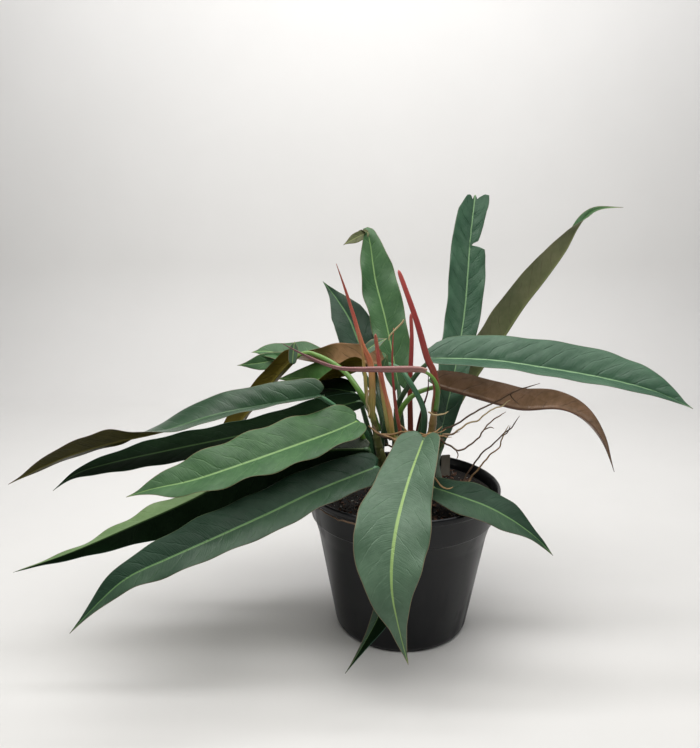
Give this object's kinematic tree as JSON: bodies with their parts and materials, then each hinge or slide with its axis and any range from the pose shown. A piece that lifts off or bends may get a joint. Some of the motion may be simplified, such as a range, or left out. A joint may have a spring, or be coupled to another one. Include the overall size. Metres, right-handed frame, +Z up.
{
  "type": "potted philodendron",
  "caption": "Potted philodendron: long, narrow, heart-based leaves, red sheaths and wiry aerial roots rising from soil in a plain tapered nursery pot.",
  "frame": {"origin": "centre of the pot's flat base, where the pot rests", "axes": "+Z up along the pot's axis; +X to the plant's right, along the longest spread of the leaves; -Y to the front, where the broadest leaf hangs over the rim"},
  "size_m": [0.8613, 0.3804, 0.5715],
  "materials": {
    "pot_plastic": "black moulded polypropylene, satin, lightly scuffed and dusty",
    "soil": "damp potting mix of bark, peat and white perlite",
    "label_plastic": "weathered grey-brown plastic plant label, blank",
    "stem": "green to olive living stem with pale leaf scars",
    "petiole": "smooth, slightly glossy green leaf stalk",
    "leaf": "leathery semi-gloss green upper side with a pale midrib, olive to red-brown underside",
    "sheath": "smooth red cataphyll fading to salmon and yellow-green",
    "aerial_root": "dry, wiry tan to dark brown aerial root"
  },
  "bodies": {
    "root": {"pot": "pot_plastic", "soil": "soil", "plant_label": "label_plastic", "stem_left": "stem", "stem_middle": "stem", "stem_right": "stem", "petiole_front": "petiole", "leaf_front": "leaf", "petiole_under_front": "petiole", "leaf_under_front": "leaf", "petiole_right_low": "petiole", "leaf_right_low": "leaf", "petiole_right": "petiole", "leaf_right": "leaf", "petiole_right_drooping": "petiole", "leaf_right_drooping": "leaf", "petiole_torn": "petiole", "leaf_torn": "leaf", "petiole_tall_right": "petiole", "leaf_tall_right": "leaf", "petiole_tall_back": "petiole", "leaf_tall_back": "leaf", "petiole_back_slender": "petiole", "leaf_back_slender": "leaf", "petiole_back_left_far": "petiole", "leaf_back_left_far": "leaf", "petiole_back_left_hanging": "petiole", "leaf_back_left_hanging": "leaf", "petiole_back_left_near": "petiole", "leaf_back_left_near": "leaf", "petiole_back_left_inner": "petiole", "leaf_back_left_inner": "leaf", "petiole_left_twisted": "petiole", "leaf_left_twisted": "leaf", "petiole_left_middle": "petiole", "leaf_left_middle": "leaf", "petiole_left_bright": "petiole", "leaf_left_bright": "leaf", "petiole_left_folded": "petiole", "leaf_left_folded": "leaf", "petiole_left_low": "petiole", "leaf_left_low": "leaf", "sheath_left_tall": "sheath", "sheath_left_short": "sheath", "sheath_middle_slim": "sheath", "sheath_middle_back": "sheath", "sheath_maroon": "sheath", "sheath_right_tall": "sheath", "sheath_arching": "sheath", "aerial_root_upper": "aerial_root", "aerial_root_pale": "aerial_root", "aerial_root_dark": "aerial_root", "aerial_root_back": "aerial_root", "aerial_root_gold": "aerial_root", "aerial_root_tan": "aerial_root", "aerial_root_rim": "aerial_root"}
  },
  "joints": []
}
